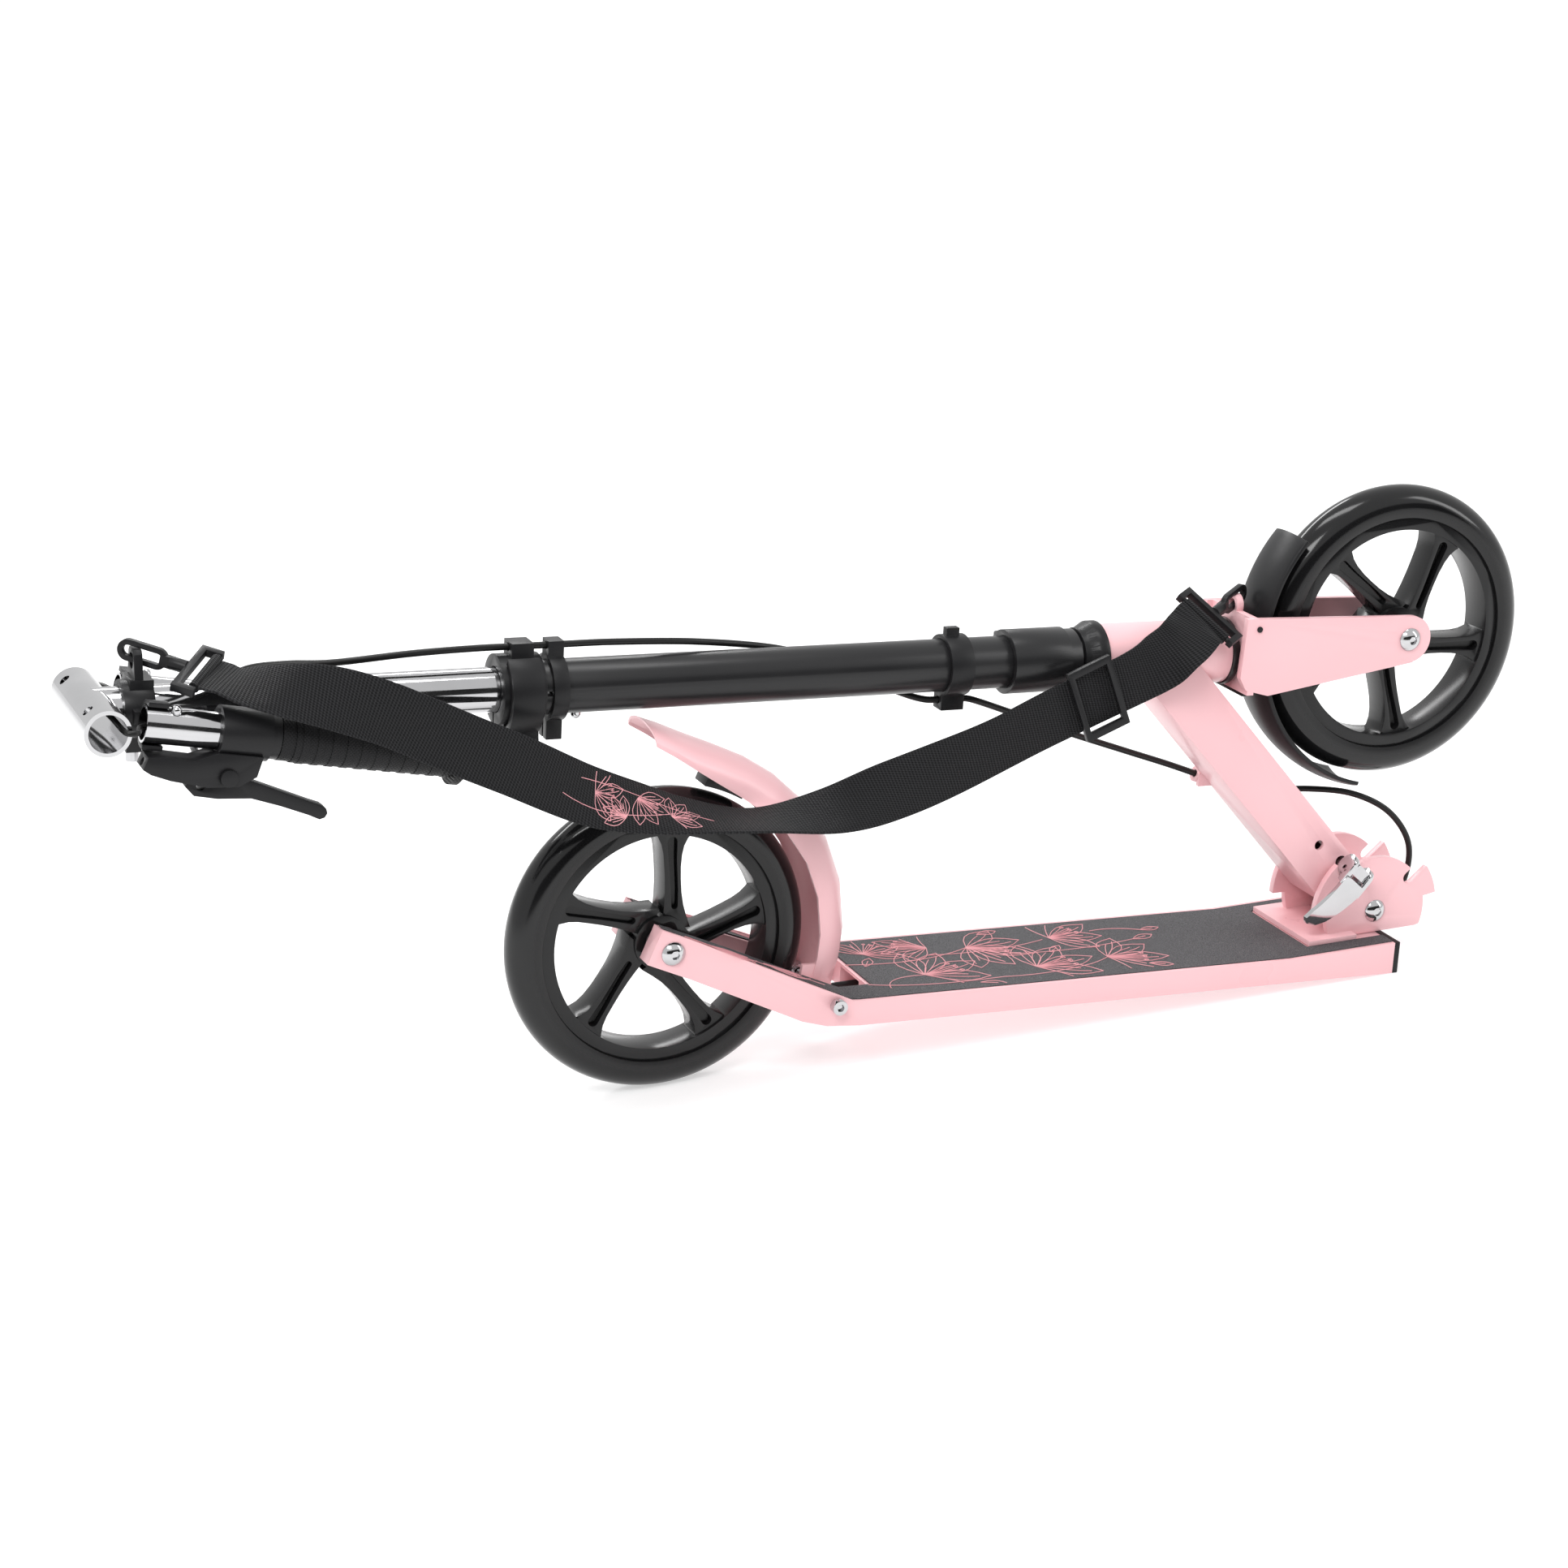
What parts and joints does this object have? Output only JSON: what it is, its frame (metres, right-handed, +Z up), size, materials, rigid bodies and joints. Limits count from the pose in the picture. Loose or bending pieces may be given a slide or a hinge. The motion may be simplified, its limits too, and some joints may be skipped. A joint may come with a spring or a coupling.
{
  "type": "kick scooter",
  "caption": "Folding two-wheel kick scooter for a child, folded with stowed handles and carrying strap; hand and foot rear brake, height-adjustable stem.",
  "frame": {"origin": "middle of the deck's front lower edge, on the floor that the folded scooter stands on", "axes": "+X forwards, from the rear wheel to the front wheel; +Y to the scooter's left; +Z up"},
  "size_m": [0.9911, 0.1287, 0.3412],
  "materials": {
    "pink_paint": "gloss powder coat",
    "black_paint": "satin",
    "chrome": "polished",
    "steel": "zinc plated",
    "tyre_pu": "glossy polyurethane",
    "rim_plastic": "gloss",
    "black_plastic": "satin moulded",
    "grip_rubber": "knurled",
    "grip_tape": "grit",
    "cable_black": "satin sheath",
    "webbing": "woven polyester",
    "bronze": "sintered"
  },
  "bodies": {
    "deck": {"deck_platform": "pink_paint", "grip_tape": "grip_tape", "deck_end_cap": "black_plastic", "folding_bracket": "pink_paint", "fold_pivot_bolt": "chrome", "rear_axle_set": "chrome", "fender_pivot_bolt": "chrome", "fender_return_spring": "steel", "brake_cable_deck": "cable_black"},
    "rear_wheel": {"rear_rim": "rim_plastic", "rear_tyre": "tyre_pu", "rear_bearings": "steel"},
    "rear_brake": {"rear_fender": "pink_paint", "fender_brake_pad": "black_plastic"},
    "front_frame": {"down_tube": "pink_paint", "head_tube": "pink_paint", "headset_cover": "black_plastic", "headset_cups": "black_paint", "pivot_bushes": "bronze", "brake_cable_fold": "cable_black"},
    "lock_axle": {"lock_axle": "chrome"},
    "fold_lever": {"fold_lever": "chrome"},
    "steerer": {"fork": "pink_paint", "steerer_tube": "steel", "outer_stem_tube": "black_paint", "lower_collar": "black_paint", "collar_bolt": "black_paint", "front_fender": "black_plastic", "fender_fixings": "black_plastic", "cable_clip": "black_plastic", "cable_holder": "black_plastic", "height_clamp": "black_plastic", "clamp_bolt": "steel", "front_axle_set": "chrome", "brake_cable_stem": "cable_black", "brake_cable_head": "cable_black", "strap_hook_lower": "black_plastic", "carry_strap": "webbing", "strap_slider": "black_plastic"},
    "front_wheel": {"front_rim": "rim_plastic", "front_tyre": "tyre_pu", "front_bearings": "steel"},
    "height_lever": {"height_lever": "black_plastic"},
    "stem_button": {"stem_button": "chrome"},
    "inner_stem": {"inner_stem": "chrome", "handle_holder": "black_plastic", "holder_screw": "steel", "elastic_cord": "cable_black", "strap_hook_upper": "black_plastic", "brake_cable_upper": "cable_black"},
    "right_handle": {"right_handle_tube": "chrome", "right_grip": "grip_rubber", "brake_clamp": "black_plastic", "brake_clamp_screw": "black_plastic", "brake_cable_lever": "cable_black"},
    "brake_lever": {"brake_lever": "black_plastic"},
    "right_snap_button": {"right_snap_button": "chrome"},
    "left_handle": {"left_handle_tube": "chrome", "left_grip": "grip_rubber"},
    "left_snap_button": {"left_snap_button": "chrome"}
  },
  "joints": [
    {"name": "rear_wheel_spin", "type": "hinge", "parent": "deck", "child": "rear_wheel", "pos_m": [-0.51799, 0, 0.1], "axis": [0, 1, 0], "continuous": true},
    {"name": "rear_brake_press", "type": "hinge", "parent": "deck", "child": "rear_brake", "pos_m": [-0.41586, 0, 0.05328], "axis": [0, -1, 0], "range_deg": [0, 1.8], "stiffness_Nm_per_rad": 30, "deforming": ["brake_cable_deck"]},
    {"name": "fold", "type": "hinge", "parent": "deck", "child": "front_frame", "pos_m": [-0.00308, 0, 0.03724], "axis": [0, 1, 0], "range_deg": [0, 85], "deforming": ["brake_cable_fold"]},
    {"name": "lock_slide", "type": "slide", "parent": "front_frame", "child": "lock_axle", "axis": [0.5256, 0, -0.8507], "range_m": [0, 0.0095]},
    {"name": "fold_lever_swing", "type": "hinge", "parent": "lock_axle", "child": "fold_lever", "pos_m": [-0.02568, -0.0415, 0.07382], "axis": [-0.7035, 0, 0.7107], "range_deg": [0, 70]},
    {"name": "steering", "type": "hinge", "parent": "front_frame", "child": "steerer", "pos_m": [-0.15787, 0, 0.23637], "axis": [0.9957, 0, -0.0922], "range_deg": [-45, 45], "deforming": ["brake_cable_head", "brake_cable_fold"]},
    {"name": "front_wheel_spin", "type": "hinge", "parent": "steerer", "child": "front_wheel", "pos_m": [0.01896, 0, 0.22853], "axis": [0, 1, 0], "continuous": true},
    {"name": "height_lever_swing", "type": "hinge", "parent": "steerer", "child": "height_lever", "pos_m": [-0.60365, -0.0155, 0.24853], "axis": [0.9957, 0, -0.0922], "range_deg": [0, 60]},
    {"name": "stem_button_press", "type": "slide", "parent": "steerer", "child": "stem_button", "axis": [0.0922, 0, 0.9957], "range_m": [0, 0.003], "stiffness_N_per_m": 400},
    {"name": "stem_height", "type": "slide", "parent": "steerer", "child": "inner_stem", "axis": [-0.9957, 0, 0.0922], "range_m": [-0.02, 0.12], "deforming": ["carry_strap", "strap_slider", "brake_cable_upper"]},
    {"name": "right_handle_out", "type": "slide", "parent": "inner_stem", "child": "right_handle", "axis": [0, -1, 0], "range_m": [0, 0.06], "deforming": ["elastic_cord", "brake_cable_lever", "carry_strap", "brake_cable_upper"]},
    {"name": "brake_lever_squeeze", "type": "hinge", "parent": "right_handle", "child": "brake_lever", "pos_m": [-0.79188, -0.041, 0.2648], "axis": [0, -1, 0], "range_deg": [0, 14], "stiffness_Nm_per_rad": 2},
    {"name": "right_snap_press", "type": "slide", "parent": "right_handle", "child": "right_snap_button", "axis": [-0.2222, 0.4226, -0.8786], "range_m": [0, 0.003], "stiffness_N_per_m": 400},
    {"name": "left_handle_out", "type": "slide", "parent": "inner_stem", "child": "left_handle", "axis": [0, 1, 0], "range_m": [0, 0.06], "deforming": ["elastic_cord"]},
    {"name": "left_snap_press", "type": "slide", "parent": "left_handle", "child": "left_snap_button", "axis": [-0.2222, -0.4226, -0.8786], "range_m": [0, 0.003], "stiffness_N_per_m": 400}
  ]
}
